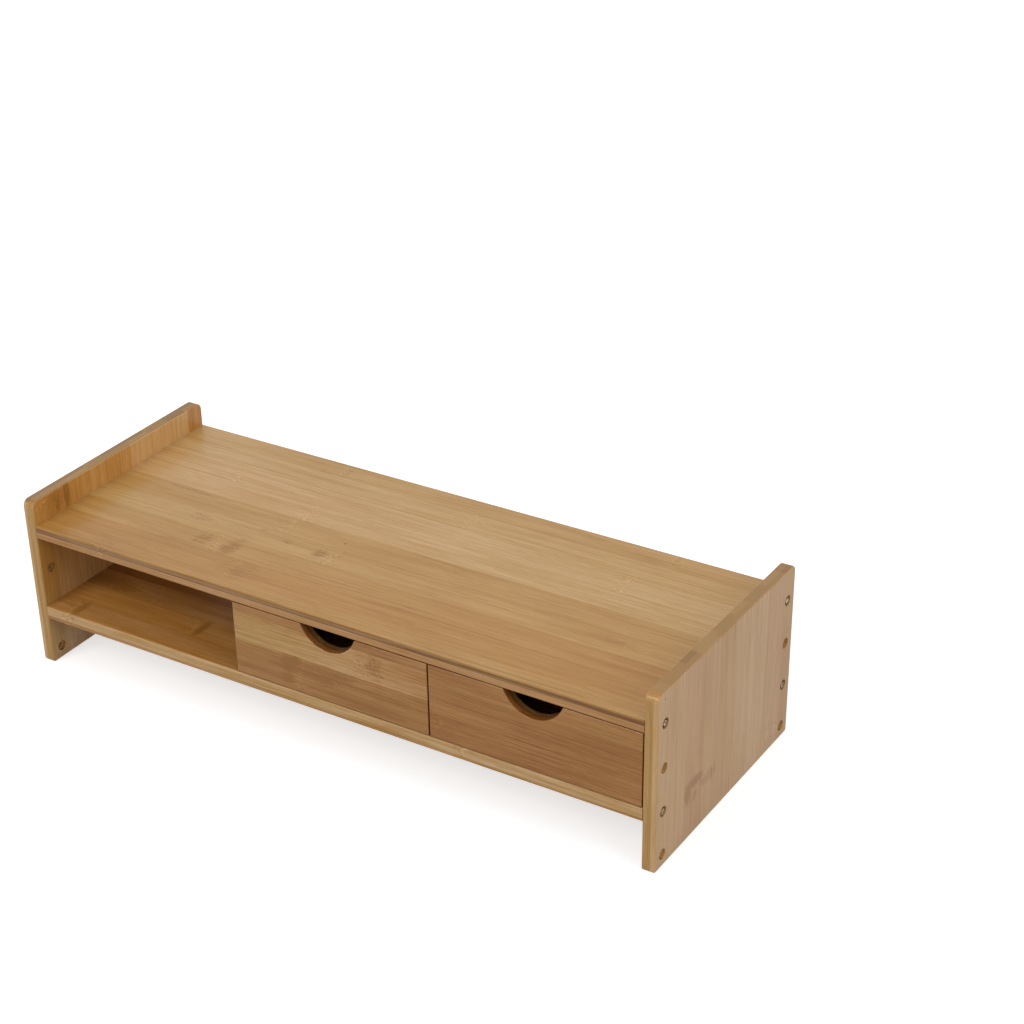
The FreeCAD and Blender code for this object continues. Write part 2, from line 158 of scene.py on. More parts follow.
def bamboo_group():
    """Fibres, knuckles, glue lines and end grain, in millimetres along, across and through a piece.

    u, v and w are those three lengths. Noise is eased from one of its levels to another, so a narrow span of
    levels gives a sharp rim and a wide one a soft rim.
    """
    tree = bpy.data.node_groups.new("laminated bamboo", "ShaderNodeTree")
    face = tree.interface
    for name, kind in (("Place", "Vector"), ("Strip", "Color"), ("Glue", "Float"), ("Ply", "Color"),
                       ("Ply Lines", "Float"), ("Cut", "Color"), ("Knuckles", "Vector"), ("Dark Knuckle", "Float"),
                       ("Side", "Float"), ("End", "Float"), ("Marks", "Float"), ("Patches", "Float"),
                       ("Seed", "Float"), ("Streaks", "Float")):
        face.new_socket(name, in_out="INPUT", socket_type=f"NodeSocket{kind}")
    for name, kind in (("Colour", "Color"), ("Roughness", "Float"), ("Normal", "Vector")):
        face.new_socket(name, in_out="OUTPUT", socket_type=f"NodeSocket{kind}")
    given = put(tree, "NodeGroupInput").outputs
    place = put(tree, "ShaderNodeSeparateXYZ", None, {"Vector": given["Place"]}).outputs
    u, v, w = place

    def m(kind, *terms):
        """One math node of this group."""
        return sum_of(tree, kind, *terms)

    def nearer(first, second):
        """The one of two lengths that is closer to nothing."""
        closer = m("LESS_THAN", m("ABSOLUTE", second), m("ABSOLUTE", first))
        return m("MULTIPLY_ADD", closer, m("SUBTRACT", second, first), first)

    # how far past the nearest knuckle, whose line wanders and jags from fibre to fibre
    knots = put(tree, "ShaderNodeSeparateXYZ", None, {"Vector": given["Knuckles"]}).outputs
    seed = m("MULTIPLY_ADD", knots[0], 0.37, given["Seed"])
    wander = fibres(tree, 0.0, v, w, 0.0, 0.16, seed, 1.0)
    jags = fibres(tree, 0.0, v, w, 0.0, 0.9, seed, 1.0)
    shifted = m("MULTIPLY_ADD", m("SUBTRACT", jags, 0.5), KNUCKLE_JAG, u)
    shifted = m("MULTIPLY_ADD", m("SUBTRACT", wander, 0.5), KNUCKLE_WANDER, shifted)
    past = nearer(nearer(*(m("SUBTRACT", shifted, knot) for knot in knots[:2])), m("SUBTRACT", shifted, knots[2]))
    knot = m("ABSOLUTE", past)
    near = ease(tree, knot, 1.0, KNUCKLE_REACH, 1.0, 0.0)

    # fibres, which wander a little and part round a knuckle
    drift = fibres(tree, u, v, w, 0.008, 0.04, seed, 1.0)
    turn = fibres(tree, u, v, w, 0.12, 0.22, seed, 1.0)
    lean = m("MULTIPLY_ADD", m("SUBTRACT", turn, 0.5), m("MULTIPLY", near, KNUCKLE_LEAN), v)
    row = m("MULTIPLY_ADD", m("SUBTRACT", drift, 0.5), GRAIN_DRIFT, lean)
    layers = {}
    tone = 0.0
    for name, (along, across, detail, depth) in FIBRE_LAYERS.items():
        layers[name] = fibres(tree, u, row, w, along, across, seed, detail)
        tone = m("MULTIPLY_ADD", m("SUBTRACT", layers[name], 0.5), depth, tone)
    bands = layers["bands"]
    clumps = m("MULTIPLY", ease(tree, layers["ribs"], 0.54, 0.70), ease(tree, bands, 0.46, 0.62))
    tone = m("MULTIPLY_ADD", clumps, CLUMP_DEPTH, tone)
    tone = m("MULTIPLY", tone, given["Streaks"])

    # glue lines come and go along the grain, and long dark lines run in the side of a ply
    flat = m("SUBTRACT", 1.0, given["Side"])
    fade = ease(tree, fibres(tree, u, 0.0, 0.0, 0.006, 0.0, seed, 1.0), 0.36, 0.60)
    tone = m("MULTIPLY_ADD", m("MULTIPLY", m("MULTIPLY", given["Glue"], fade), flat), GLUE_DEPTH, tone)
    lines = ease(tree, fibres(tree, u, v, w, 0.009, 0.46, seed, 1.0), 0.50, 0.57)
    dark = m("MULTIPLY", m("MULTIPLY", given["Side"], given["Ply Lines"]), lines)
    tone = m("MULTIPLY_ADD", dark, PLY_LINE_DEPTH, tone)

    # a knuckle: a jagged scar, pale and dark flecks beside it, and brown strands that fade along the grain
    flecks = fibres(tree, u, v, w, 0.30, 0.62, seed, 3.0, 0.65)
    hazy = m("MULTIPLY", near, ease(tree, fibres(tree, u, v, w, 0.05, 0.12, seed, 0.0), 0.30, 0.60, 0.35, 1.0))
    tone = m("MULTIPLY_ADD", m("MULTIPLY", hazy, ease(tree, flecks, 0.46, 0.64)), PALE_FLECKS, tone)
    tone = m("MULTIPLY_ADD", m("MULTIPLY", hazy, ease(tree, flecks, 0.50, 0.36)), DARK_FLECKS, tone)
    scar = m("MULTIPLY", ease(tree, knot, 0.3, 1.4, 1.0, 0.0), m("SUBTRACT", flecks, 0.44))
    tone = m("MULTIPLY_ADD", scar, SCAR_CONTRAST, tone)
    strands = fibres(tree, u, v, w, 0.05, 0.42, seed, 2.0)
    reach = m("DIVIDE", past, m("MULTIPLY_ADD", strands, STRAND_REACH, STRAND_LOSS))
    after = m("MULTIPLY", ease(tree, past, 3.0, 6.0), ease(tree, reach, 0.55, 1.15, 1.0, 0.0))
    before = m("MULTIPLY", ease(tree, past, -3.5, -6.5), ease(tree, reach, -0.95, -0.60))
    strong = m("MULTIPLY", ease(tree, strands, 0.30, 0.56, 0.35, 1.0), ease(tree, flecks, 0.66, 0.50, 0.45, 1.0))
    flank = m("MULTIPLY", m("MULTIPLY", m("ADD", after, before), strong), given["Dark Knuckle"])

    # brown patches by a knuckle, ragged at their rims and mottled within
    mottle = m("MULTIPLY_ADD", m("SUBTRACT", flecks, 0.5), 1.5, m("MULTIPLY", m("SUBTRACT", strands, 0.5), 1.1))
    ragged = m("ADD", mottle, given["Patches"])
    patch = m("MULTIPLY", ease(tree, ragged, 0.22, 0.80), ease(tree, given["Patches"], 0.0, 0.25))
    flank = m("MAXIMUM", flank, patch)

    # the strip's colour on its face, and the ply's on its side
    wood = blend(tree, given["Side"], given["Strip"], given["Ply"])
    shade = put(tree, "ShaderNodeVectorMath", {"operation": "MULTIPLY_ADD"},
                {0: tone, 1: TONE_SPREAD, 2: (1.0, 1.0, 1.0)}).outputs[0]
    shade = put(tree, "ShaderNodeVectorMath", {"operation": "MAXIMUM"}, {0: shade, 1: DARKEST}).outputs[0]
    wood = put(tree, "ShaderNodeVectorMath", {"operation": "MULTIPLY"}, {0: wood, 1: shade}).outputs[0]
    wood = blend(tree, m("MULTIPLY", flank, KNUCKLE_COVER), wood, KNUCKLE_BROWN)
    wood = blend(tree, m("MULTIPLY", given["Marks"], MARK_COVER), wood, MARK_BROWN)

    # end grain: rows of dark bundles
    rows = vector_of(tree, 0.0, m("MULTIPLY", v, BUNDLES_ACROSS), m("MULTIPLY", w, BUNDLES_THROUGH))
    cells = put(tree, "ShaderNodeTexVoronoi", {"feature": "F1"}, {"Vector": rows, "Scale": 1.0})
    bundle = ease(tree, cells.outputs["Distance"], 0.18, 0.45, 1.0, 0.0)
    cut = blend(tree, m("MULTIPLY", bundle, BUNDLE_COVER), given["Cut"], BUNDLE_BROWN)
    colour = blend(tree, given["End"], wood, cut)

    # lacquer, which lets a little of the grain through
    rough = m("MULTIPLY_ADD", bands, BAND_ROUGHNESS, LACQUER_ROUGHNESS)
    rough = m("MULTIPLY_ADD", given["End"], END_ROUGHNESS, rough)
    height = m("MULTIPLY_ADD", layers["threads"], 0.6, m("MULTIPLY", bands, 0.4))
    height = m("MULTIPLY_ADD", m("MULTIPLY", near, flecks), 0.15, height)
    bump = put(tree, "ShaderNodeBump", None,
               {"Strength": GRAIN_STRENGTH, "Distance": GRAIN_DEPTH, "Height": height})
    out = put(tree, "NodeGroupOutput")
    for name, value in (("Colour", colour), ("Roughness", rough), ("Normal", bump.outputs[0])):
        tree.links.new(value, out.inputs[name])
    return tree


BAMBOO = bamboo_group()

# How much darker a board's end grain is than its faces: plain, and darker on the drawers' sides and fronts. On the
# sides that is the end grain's own dark brown; on the fronts' ends it is painted shade in the gaps beside them
END_SHADE = (0.80, 0.70, 0.55, 1.0)
DARK_END_AND_GAP_SHADE = (0.60, 0.48, 0.34, 1.0)

# A strip's three knuckles are carried as a colour, so their places, in millimetres, are shifted up and scaled
# down. A strip that shows fewer has the others off the piece, as far before its start as the shift
KNUCKLE_SCALE = 1000.0
KNUCKLE_SHIFT = 100.0
KNUCKLES_PER_STRIP = 3

GLUE_LINE_WIDTH = 1.1
OUTER_PLY_SHARE = 0.45

# How squarely a face looks sideways or along the grain when it starts to show plies or end grain, and when it
# shows nothing else
TURNED, FULLY_TURNED = 0.55, 0.9

# A face that looks out less squarely than the first of these is a wall, and one beyond the second is a broad face
LOOKS_OUT, LOOKS_FULLY_OUT = 0.6, 0.85


def read_place(tree, laid):
    """Millimetres along, across and through a piece, and how much a face looks each way."""
    spot = put(tree, "ShaderNodeTexCoord")
    place = put(tree, "ShaderNodeSeparateXYZ", None, {"Vector": spot.outputs["Object"]}).outputs
    facing = put(tree, "ShaderNodeSeparateXYZ", None, {"Vector": spot.outputs["Normal"]}).outputs
    lengths, looks = [], []
    for sign, axis, start in laid:
        scale = sign * MM_PER_METRE
        lengths.append(sum_of(tree, "MULTIPLY_ADD", place[axis], scale, -start * scale))
        looks.append(sum_of(tree, "ABSOLUTE", facing[axis]))
    return lengths, looks


def lay_out(node, ways):
    """For each of a piece's three directions: sign, axis and where it starts; and its three sizes in millimetres."""
    low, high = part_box(node)
    laid = []
    for way in ways:
        axis = "XYZ".index(way[1])
        laid.append((1, axis, low[axis]) if way[0] == "+" else (-1, axis, high[axis]))
    spans = [high["XYZ".index(way[1])] - low["XYZ".index(way[1])] for way in ways]
    return laid, [span * MM_PER_METRE for span in spans]


def steps(tree, value, span, rows):
    """A colour ramp in steps, from rows of where a step starts, in millimetres, and its colour."""
    ramp = put(tree, "ShaderNodeValToRGB")
    feed(tree, ramp.inputs[0], sum_of(tree, "DIVIDE", value, span))
    bar = ramp.color_ramp
    bar.interpolation = "CONSTANT"
    for number, (start, colour) in enumerate(rows):
        stop = bar.elements[number] if number < 2 else bar.elements.new(start / span)
        stop.position = start / span
        stop.color = colour
    while len(bar.elements) > max(len(rows), 1):
        bar.elements.remove(bar.elements[-1])
    return ramp


def strip_rows(strips):
    """Steps for the strips' tones at both ends, where thin steps with an alpha are glue lines, and their knuckles."""
    near_rows, far_rows, knots, start = [], [], [], 0.0
    for end, near, far, glue, dark, places in strips:
        for rows, tone in ((near_rows, near), (far_rows, far)):
            rows.append((start, (*tone, 0.0)))
            if glue:
                rows.append((end - GLUE_LINE_WIDTH, (*tone, glue)))
        carried = [(place + KNUCKLE_SHIFT) / KNUCKLE_SCALE for place in places]
        carried += [0.0] * (KNUCKLES_PER_STRIP - len(places))
        knots.append((start, (*carried, dark)))
        start = end
    return near_rows, far_rows, knots


def inside(tree, value, span, edge):
    """One where a length lies further than an edge's width from both ends."""
    return sum_of(tree, "MULTIPLY", sum_of(tree, "GREATER_THAN", value, edge),
                  sum_of(tree, "LESS_THAN", value, span - edge))


def spots(tree, u, v, marks, core, rim):
    """Soft spots, which are at full strength up to the core and gone at the rim, as shares of half their size."""
    total = 0.0
    for along, across, length, width, strength in marks:
        far = vector_of(tree, sum_of(tree, "MULTIPLY_ADD", u, 2 / length, -2 * along / length),
                        sum_of(tree, "MULTIPLY_ADD", v, 2 / width, -2 * across / width), 0.0)
        reach = put(tree, "ShaderNodeVectorMath", {"operation": "LENGTH"}, {0: far}).outputs["Value"]
        total = sum_of(tree, "MAXIMUM", total, ease(tree, reach, core, rim, strength, 0.0))
    return total


def ply_rows(plies):
    """Steps for the plies' tones, with how strong their dark lines are as an alpha."""
    return [(start, (*tone, lines)) for start, tone, lines in plies]


def bamboo(node, ways, strips, plies, seed, streaks=1.0, cuts=None, edges=(6.0, 6.0), marks=(), patches=(),
           end_shade=END_SHADE, rear_plies=None, outer_strips=None, marked_inside=False):
    """Laminated bamboo laid out for one piece, from its own strips, plies, knuckles and end grain.

    ways are the directions along the grain, across it and through the piece from its outer face. edges is how
    near its ends and sides, in millimetres, a wall isn't taken for the wall of a hole or a cut-out. cuts are the
    blocks of end grain, of the outer ply and the inner one. Marks and patches lie on the outer half of the piece,
    or on the inner half with marked_inside.
    """
    material = bpy.data.materials.new(f"{node} bamboo")
    material.use_nodes = True
    tree = material.node_tree
    shader = tree.nodes["Principled BSDF"]
    laid, spans = lay_out(node, ways)
    (u, v, w), (end, side, face) = read_place(tree, laid)
    near_rows, far_rows, knots = strip_rows(strips)
    strip = steps(tree, v, spans[1], near_rows)
    far_strip = steps(tree, v, spans[1], far_rows)
    tone = blend(tree, ease(tree, u, 0.0, spans[0]), strip.outputs[0], far_strip.outputs[0])
    outer_half = sum_of(tree, "LESS_THAN", w, spans[2] / 2)
    marked = sum_of(tree, "SUBTRACT", 1.0, outer_half) if marked_inside else outer_half
    if outer_strips:
        outer_strip = steps(tree, v, spans[1], strip_rows(outer_strips)[0])
        tone = blend(tree, outer_half, tone, outer_strip.outputs[0])
    knot = steps(tree, v, spans[1], knots)
    ply = steps(tree, w, spans[2], ply_rows(plies))
    ply_tone = ply.outputs[0]
    if rear_plies:
        rear = steps(tree, w, spans[2], ply_rows(rear_plies))
        ply_tone = blend(tree, sum_of(tree, "GREATER_THAN", v, spans[1] / 2), rear.outputs[0], ply_tone)
    if cuts:
        outer, inner = (steps(tree, v, spans[1], [(start, (*block, 1.0)) for start, block in row]).outputs[0]
                        for row in cuts)
        cut = blend(tree, sum_of(tree, "GREATER_THAN", w, spans[2] * OUTER_PLY_SHARE), outer, inner)
    else:
        cut = blend(tree, 1.0, blend(tree, 0.5, strip.outputs[0], ply.outputs[0]), end_shade, "MULTIPLY")
    where = put(tree, "ShaderNodeVectorMath", {"operation": "MULTIPLY_ADD"},
                {0: knot.outputs[0], 1: (KNUCKLE_SCALE,) * 3, 2: (-KNUCKLE_SHIFT,) * 3})
    # the walls of holes and cut-outs show the plies all round
    bored = sum_of(tree, "MULTIPLY", inside(tree, u, spans[0], edges[0]), inside(tree, v, spans[1], edges[1]))
    bored = sum_of(tree, "MULTIPLY", bored, ease(tree, face, LOOKS_OUT, LOOKS_FULLY_OUT, 1.0, 0.0))
    side = sum_of(tree, "MAXIMUM", ease(tree, side, TURNED, FULLY_TURNED), bored)
    end = sum_of(tree, "MULTIPLY", ease(tree, end, TURNED, FULLY_TURNED), sum_of(tree, "SUBTRACT", 1.0, bored))
    mark = sum_of(tree, "MULTIPLY", spots(tree, u, v, marks, 0.5, 1.2), marked)
    patch = sum_of(tree, "MULTIPLY", spots(tree, u, v, patches, 0.2, 1.25), marked)
    group = put(tree, "ShaderNodeGroup", {"node_tree": BAMBOO}, {
        "Place": vector_of(tree, u, v, w), "Strip": tone, "Glue": strip.outputs[1],
        "Ply": ply_tone, "Ply Lines": ply.outputs[1], "Cut": cut,
        "Knuckles": where.outputs[0], "Dark Knuckle": knot.outputs[1],
        "Side": side, "End": end, "Marks": mark, "Patches": patch, "Seed": seed, "Streaks": streaks})
    for name, socket in (("Colour", "Base Color"), ("Roughness", "Roughness"), ("Normal", "Normal")):
        tree.links.new(group.outputs[name], shader.inputs[socket])
    shader.inputs["IOR"].default_value = LACQUER_IOR
    return material


def dress(node, material):
    """Give a CAD node a material in all its slots."""
    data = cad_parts[node].data
    data.materials.clear()
    data.materials.append(material)


# Tones of bamboo, as linear colours, from pale to dark
PINE = (0.59, 0.335, 0.122)
IVORY = (0.545, 0.335, 0.142)
APRICOT = (0.53, 0.262, 0.068)
PALE = (0.525, 0.305, 0.112)
CREAM = (0.51, 0.31, 0.13)
SAND = (0.49, 0.285, 0.11)
CHAFF = (0.485, 0.285, 0.124)
STRAW = (0.475, 0.285, 0.108)
COPPER = (0.47, 0.215, 0.045)
DUNE = (0.468, 0.264, 0.106)
WHEAT = (0.445, 0.255, 0.080)
ROSE = (0.44, 0.234, 0.088)
FAWN = (0.435, 0.206, 0.057)
TAN = (0.43, 0.215, 0.072)
HONEY = (0.415, 0.222, 0.060)
AMBER = (0.41, 0.195, 0.038)
CLAY = (0.39, 0.19, 0.042)
BRONZE = (0.345, 0.155, 0.038)
UMBER = (0.335, 0.147, 0.031)
TOFFEE = (0.305, 0.122, 0.021)
BARK = (0.285, 0.150, 0.050)
RUSSET = (0.20, 0.065, 0.012)
SEAM = (0.17, 0.088, 0.032)

# Each strip: where it ends, its tones at both ends, how dark its glue line is, how dark its knuckles are, and
# where they lie. Each mark or patch: where it lies along and across, how long and wide it is, and how strong.
# Places and lengths are in millimetres
TOP_STRIPS = [
    (20, WHEAT, HONEY, 0.3, 0.0, (150, 440)),
    (44, STRAW, WHEAT, 0.9, 0.0, (280,)),
    (68, SAND, STRAW, 0.5, 0.0, (83, 425)),
    (93, SAND, STRAW, 1.0, 0.0, (168,)),
    (117, HONEY, HONEY, 0.8, 0.0, (165,)),
    (142, WHEAT, HONEY, 0.9, 0.0, (222,)),
    (166, HONEY, CLAY, 1.0, 0.0, (134,)),
    (190, CLAY, CLAY, 0.6, 0.1, (168,)),
    (202, CLAY, HONEY, 0.0, 0.1, (62,)),
]
TOP_MARKS = [(218, 107, 2.4, 1.9, 1.0), (370, 128, 4.0, 1.0, 0.4), (403, 127, 3.0, 0.9, 0.35),
             (460, 127, 9.0, 1.0, 0.4), (100, 127, 3.0, 0.9, 0.3), (293, 60, 9.0, 0.9, 0.3),
             (153, 120, 8.0, 2.0, 0.4), (312, 161, 12.0, 1.2, 0.35), (470, 143, 90.0, 0.7, 0.3),
             (400, 199, 190.0, 0.9, 0.6), (60, 199.5, 110.0, 0.8, 0.5)]
TOP_PATCHES = [(121, 154, 21, 32, 0.52), (148, 153, 21, 34, 0.64), (210, 128, 16, 22, 0.62),
               (177, 178, 34, 28, 0.44), (154, 9, 7, 30, 0.38), (441, 9, 6, 30, 0.36), (100, 127, 40, 14, 0.42),
               (70, 96, 70, 8, 0.45), (62, 196, 34, 12, 0.45), (180, 126, 14, 10, 0.45), (455, 126, 50, 12, 0.42)]
# At the shelf's open left end its front strips are lighter and the strips behind them darker and redder: partly
# painted light where the lamps reach into the open bay, and painted shade under the top board
SHELF_STRIPS = [
    (12, CLAY, CLAY, 0.4, 0.0, (310,)),
    (36, AMBER, CLAY, 0.8, 0.2, (60, 300)),
    (60, CLAY, AMBER, 0.5, 0.0, (205, 470)),
    (84, BRONZE, CLAY, 0.8, 0.2, (92, 350)),
    (108, BRONZE, AMBER, 0.5, 0.1, (245,)),
    (132, TOFFEE, CLAY, 0.8, 0.3, (440,)),
    (156, FAWN, TAN, 1.0, 0.1, (66, 330)),
    (180, COPPER, TAN, 1.0, 0.1, (117, 270)),
    (202, FAWN, CLAY, 0.0, 0.1, (20, 380)),
]
SHELF_PATCHES = [(124, 168, 10, 34, 0.80), (25, 191, 12, 30, 0.70), (18, 146, 80, 28, 0.85),
                 (60, 126, 120, 18, 0.45), (150, 144, 60, 20, 0.40)]
RIGHT_STRIPS = [
    (17, DUNE, DUNE, 0.5, 0.0, (-60,)),
    (41, DUNE, CHAFF, 0.4, 0.1, (-40,)),
    (65, ROSE, ROSE, 0.7, 0.0, (108, -20)),
    (89, ROSE, DUNE, 0.6, 0.0, (106,)),
    (109, HONEY, DUNE, 1.0, 0.0, (-33,)),
    (133, DUNE, CHAFF, 1.0, 0.1, (-52,)),
    (160, CHAFF, CHAFF, 0.4, 0.0, (-78,)),
    (186, ROSE, DUNE, 0.4, 0.1, (126,)),
    (202, HONEY, TAN, 0.0, 0.0, (-90,)),
]
RIGHT_MARKS = [(6, 9.5, 1.8, 1.8, 1.0), (3.6, 9.2, 1.0, 1.0, 0.8), (22, 96.5, 44.0, 1.4, 0.45),
               (60, 130.5, 90.0, 0.9, 0.35)]
RIGHT_PATCHES = [(102, 45.5, 24, 15, 0.85), (97.5, 57, 13, 30, 0.78), (105, 76, 16, 36, 0.52),
                 (109, 54, 14, 26, 0.50)]
LEFT_STRIPS = [
    (17, COPPER, COPPER, 0.4, 0.0, (95,)),
    (40, PINE, SAND, 0.5, 0.0, (-60,)),
    (65, PINE, PINE, 0.5, 0.1, (-45,)),
    (89, PINE, SAND, 0.5, 0.0, (70,)),
    (113, APRICOT, APRICOT, 0.6, 0.0, (-72,)),
    (137, APRICOT, PINE, 0.5, 0.1, (-51,)),
    (162, APRICOT, IVORY, 0.9, 0.1, (110,)),
    (185, COPPER, IVORY, 0.5, 0.1, (3,)),
    (202, COPPER, WHEAT, 0.0, 0.1, (6,)),
]
LEFT_OUTER_STRIPS = [(end, tone, tone, glue, 0.0, ()) for end, tone, glue in
                     ((17, WHEAT, 0.4), (40, SAND, 0.5), (65, STRAW, 0.5), (89, PALE, 0.5), (113, SAND, 0.6),
                      (137, PALE, 0.5), (162, SAND, 0.9), (185, STRAW, 0.5), (202, WHEAT, 0.0))]
LEFT_PATCHES = [(8, 165, 40, 10, 0.80), (9, 178, 30, 28, 0.52)]
MIDDLE_FRONT_STRIPS = [
    (7, UMBER, BRONZE, 0.4, 0.0, (-50,)),
    (30, WHEAT, TAN, 1.0, 0.0, (110,)),
    (57.6, UMBER, UMBER, 0.0, 0.0, (57,)),
    # the lowest strip is painted shade, along the line where the front meets the shelf
    (59, RUSSET, RUSSET, 0.0, 0.0, ()),
]
MIDDLE_FRONT_PATCHES = [(48, 37, 20, 20, 0.90), (46, 49, 17, 17, 0.75), (54, 33, 13, 12, 0.90),
                        (76, 39, 48, 20, 0.68), (95, 35, 40, 11, 0.68), (123, 17, 22, 34, 0.55)]
RIGHT_FRONT_STRIPS = [
    (14, UMBER, UMBER, 0.4, 0.0, (-40,)),
    (38, UMBER, TOFFEE, 0.4, 0.0, (-66,)),
    (57.6, TOFFEE, UMBER, 0.0, 0.2, (8,)),
    # the lowest strip is painted shade, along the line where the front meets the shelf
    (59, RUSSET, RUSSET, 0.0, 0.0, ()),
]
RIGHT_FRONT_PATCHES = [(30, 26, 80, 7, 0.48), (120, 50, 90, 7, 0.48), (60, 9, 80, 7, 0.45)]
BACK_STRIPS = [
    (32, HONEY, HONEY, 0.8, 0.2, (102,)),
    (55, CLAY, CLAY, 0.0, 0.9, (95,)),
]
SIDE_STRIPS = [
    (24, HONEY, HONEY, 0.6, 0.1, (60,)),
    (48, CLAY, CLAY, 0.6, 0.1, (135,)),
    (55, HONEY, HONEY, 0.0, 0.0, ()),
]
BOTTOM_STRIPS = [(end, tone, tone, 0.5, 0.1, (place,)) for end, tone, place in
                 ((24, STRAW, 30), (48, HONEY, 118), (72, WHEAT, 70), (96, STRAW, 140), (120, HONEY, 20),
                  (144, WHEAT, 95), (170, STRAW, 55))]
DOWEL_TONE = (0.46, 0.25, 0.11)
DOWEL_STRIPS = [(7, DOWEL_TONE, DOWEL_TONE, 0.0, 0.0, ())]
DOWEL_PLIES = [(0, DOWEL_TONE, 0.0)]

# Each ply of an edge: where it starts, its tone, how strong its dark lines are
TOP_PLIES = [(0, CLAY, 0.5), (1.5, BARK, 1.0), (4.5, SEAM, 1.0), (5.0, TAN, 0.12)]
TOP_REAR_PLIES = [(0, WHEAT, 0.2), (3.9, HONEY, 0.5), (4.6, SAND, 0.15)]
SHELF_PLIES = [(0, CREAM, 0.12), (7.4, WHEAT, 0.4), (8.6, TAN, 0.5)]
PANEL_PLIES = [(0, IVORY, 0.1), (3.6, HONEY, 0.3), (4.1, WHEAT, 0.3)]
CUT_OUTER, CUT_LINE, CUT_INNER = (0.235, 0.088, 0.018), (0.12, 0.038, 0.008), (0.19, 0.095, 0.034)
FRONT_PLIES = [(0, CUT_OUTER, 0.2), (5.0, CUT_LINE, 0.2), (6.0, CUT_INNER, 0.2)]
WALL_PLIES = [(0, HONEY, 0.3), (4.0, CLAY, 0.3), (4.3, HONEY, 0.3)]
PLAIN_PLY = [(0, HONEY, 0.2)]

# End grain of the panels' tops, outer ply and inner ply: where each block starts and its tone
PALE_END, TAN_END, BROWN_END = (0.318, 0.181, 0.055), (0.288, 0.155, 0.042), (0.235, 0.123, 0.034)
PINK_END, RED_END = (0.296, 0.158, 0.045), (0.26, 0.118, 0.029)
RIGHT_CUTS = (
    [(0, AMBER), (5, PALE_END), (17, PINK_END), (41, TAN_END), (62, PALE_END), (87, TAN_END), (112, PINK_END),
     (137, TAN_END), (162, TAN_END), (185, RED_END), (198, BROWN_END)],
    [(0, AMBER), (5, PALE_END), (17, PINK_END), (45, BROWN_END), (62, PALE_END), (92, TAN_END), (117, PALE_END),
     (137, TAN_END), (162, PALE_END), (185, TAN_END)])
LEFT_CUTS = (
    [(0, RED_END), (5, BROWN_END), (41, TAN_END), (65, BROWN_END), (115, TAN_END), (136, BROWN_END)],
    [(0, PINK_END), (20, BROWN_END), (41, TAN_END), (65, PALE_END), (87, TAN_END), (115, TAN_END), (136, PALE_END),
     (162, PINK_END), (185, TAN_END)])

# For each kind of piece, the directions along its grain, across it and in from its outer face
BOARD_WAYS = ("+X", "-Y", "-Z")
RIGHT_PANEL_WAYS = ("-Z", "+Y", "-X")
LEFT_PANEL_WAYS = ("-Z", "-Y", "+X")
FRONT_WAYS = ("+X", "-Z", "+Y")
BACK_WAYS = ("-X", "-Z", "-Y")
WALL_WAYS = ("+Y", "-Z", "+X")
DOWEL_WAYS = ("+Z", "+X", "+Y")

dress("top_board", bamboo("top_board", BOARD_WAYS, TOP_STRIPS, TOP_PLIES, seed=1.7, marks=TOP_MARKS,
                          patches=TOP_PATCHES, rear_plies=TOP_REAR_PLIES))
dress("lower_shelf", bamboo("lower_shelf", BOARD_WAYS, SHELF_STRIPS, SHELF_PLIES, seed=31.3, streaks=1.2,
                            patches=SHELF_PATCHES))
dress("right_side_panel", bamboo("right_side_panel", RIGHT_PANEL_WAYS, RIGHT_STRIPS, PANEL_PLIES, seed=47.1,
                                 streaks=0.9, cuts=RIGHT_CUTS, marks=RIGHT_MARKS, patches=RIGHT_PATCHES))
dress("left_side_panel", bamboo("left_side_panel", LEFT_PANEL_WAYS, LEFT_STRIPS, PANEL_PLIES, seed=63.9,
                                streaks=0.9, cuts=LEFT_CUTS, patches=LEFT_PATCHES,
                                outer_strips=LEFT_OUTER_STRIPS, marked_inside=True))
for drawer, strips, patches, seed in (("middle", MIDDLE_FRONT_STRIPS, MIDDLE_FRONT_PATCHES, 12.0),
                                      ("right", RIGHT_FRONT_STRIPS, RIGHT_FRONT_PATCHES, 85.5)):
    node = f"{drawer}_drawer_front"
    # the fronts' darker ends are painted shade in the gaps beside them, and their lowest strip is painted shade along
    # the shelf
    dress(node, bamboo(node, FRONT_WAYS, strips, FRONT_PLIES, seed, streaks=1.6, edges=(6.0, 1.2),
                       patches=patches, end_shade=DARK_END_AND_GAP_SHADE))
    node = f"{drawer}_drawer_back"
    dress(node, bamboo(node, BACK_WAYS, BACK_STRIPS, WALL_PLIES, seed + 5, streaks=1.3))
    node = f"{drawer}_drawer_bottom"
    dress(node, bamboo(node, BOARD_WAYS, BOTTOM_STRIPS, PLAIN_PLY, seed + 21))
    for number, side in enumerate(("left", "right")):
        node = f"{drawer}_drawer_{side}_side"
        dress(node, bamboo(node, WALL_WAYS, SIDE_STRIPS, WALL_PLIES, seed + 9 + 4 * number, streaks=1.3,
                           end_shade=DARK_END_AND_GAP_SHADE))
        node = f"{drawer}_stop_dowel_{side}"
        dress(node, bamboo(node, DOWEL_WAYS, DOWEL_STRIPS, DOWEL_PLIES, seed + 33 + 7 * number, streaks=0.6))


# How far behind the outer face of a CAD screw's head its underside sits, and where on the head the rim begins to
# darken and is fully dark, as shares of the head's radius. The dark rim is painted shade of the gap between the head
# and its hole
SCREW_SEAT = 2.6 * MM
RIM_START, RIM_FULL = 0.48, 0.66
RIM_SHADE_BROWN = (0.035, 0.022, 0.012, 1)
SCREW_SEED = 7
SCREWS = [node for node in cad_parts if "_screw_" in node]


